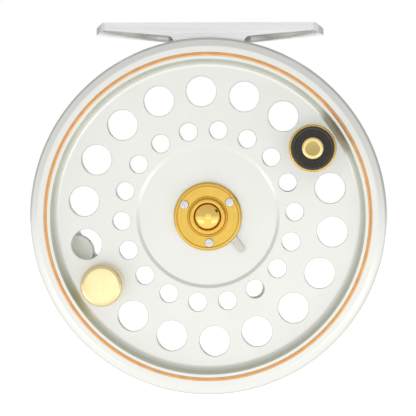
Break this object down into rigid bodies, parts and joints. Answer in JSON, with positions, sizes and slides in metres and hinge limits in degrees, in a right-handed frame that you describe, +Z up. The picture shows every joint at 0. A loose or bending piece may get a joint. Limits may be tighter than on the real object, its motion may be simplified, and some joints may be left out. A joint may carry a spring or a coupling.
{
  "type": "fly reel",
  "caption": "Single-action fly reel with a ported spool, exposed palming rim, sprung spool latch, click check with regulator, and a rod foot.",
  "frame": {"origin": "lowest line of the foot's saddle, half way along the foot", "axes": "+Z up into the rod seat, +X along the rod and foot, +Y towards the reel's back; the handle faces -Y"},
  "size_m": [0.0984, 0.0497, 0.1029],
  "materials": {
    "pearl": "pearl anodised satin",
    "bare_aluminium": "brushed",
    "steel": "turned",
    "gold": "gold anodised, fine turned",
    "gold_polished": "polished",
    "copper": "satin copper anodised",
    "bronze": "turned bronze",
    "black_handle": "polished black"
  },
  "bodies": {
    "frame": {"back_plate": "pearl", "front_ring": "pearl", "pillars": "pearl", "foot_bridge": "pearl", "frame_screws": "steel", "foot": "bare_aluminium", "foot_screws": "steel", "spindle": "gold_polished", "spindle_nut": "gold", "pawl_post": "steel", "spring_stud": "steel", "click_spring": "steel", "strip_guides": "steel"},
    "spool": {"spool_face": "pearl", "rim_inlay": "copper", "spool_drum": "pearl", "rear_flange": "pearl", "front_bush": "bronze", "rear_bush": "bronze", "click_gear": "bronze", "gear_screws": "steel", "latch_cover": "gold", "cover_screws": "steel", "latch_pivot": "steel", "latch_spring": "steel", "handle_plate": "gold", "handle_post": "gold", "counterweight": "gold_polished", "counterweight_rivet": "steel"},
    "handle": {"handle_knob": "black_handle"},
    "latch": {"latch_lever": "steel"},
    "pawl": {"click_pawl": "steel"},
    "regulator": {"regulator_strip": "steel"},
    "drag": {"drag_shaft": "pearl", "drag_knob": "gold"}
  },
  "joints": [
    {"name": "spool_spin", "type": "hinge", "parent": "frame", "child": "spool", "pos_m": [0, 0, -0.05207], "axis": [0, -1, 0], "continuous": true},
    {"name": "handle_spin", "type": "hinge", "parent": "spool", "child": "handle", "pos_m": [0.02882, 0, -0.03329], "axis": [0, -1, 0], "continuous": true},
    {"name": "latch_swing", "type": "hinge", "parent": "spool", "child": "latch", "pos_m": [-0.00093, -0.012, -0.04734], "axis": [0, -1, 0], "range_deg": [0, 11], "stiffness_Nm_per_rad": 0.02, "springref_deg": -5.73},
    {"name": "pawl_lift", "type": "hinge", "parent": "frame", "child": "pawl", "pos_m": [0.02141, 0, -0.04748], "axis": [0, -1, 0], "range_deg": [0, 5.5], "stiffness_Nm_per_rad": 0.05, "springref_deg": -5.73, "deforming": ["click_spring"]},
    {"name": "drag_turn", "type": "hinge", "parent": "frame", "child": "drag", "pos_m": [-0.03865, 0, -0.06294], "axis": [0, -1, 0], "range_deg": [-45, 45]},
    {"name": "regulator_shift", "type": "hinge", "parent": "frame", "child": "regulator", "pos_m": [0, 0, -0.05207], "axis": [0, -1, 0], "range_deg": [-3.65, 3.65]}
  ],
  "couplings": [
    {"joint": "regulator_shift", "follows": "drag_turn", "ratio": -0.0811}
  ]
}
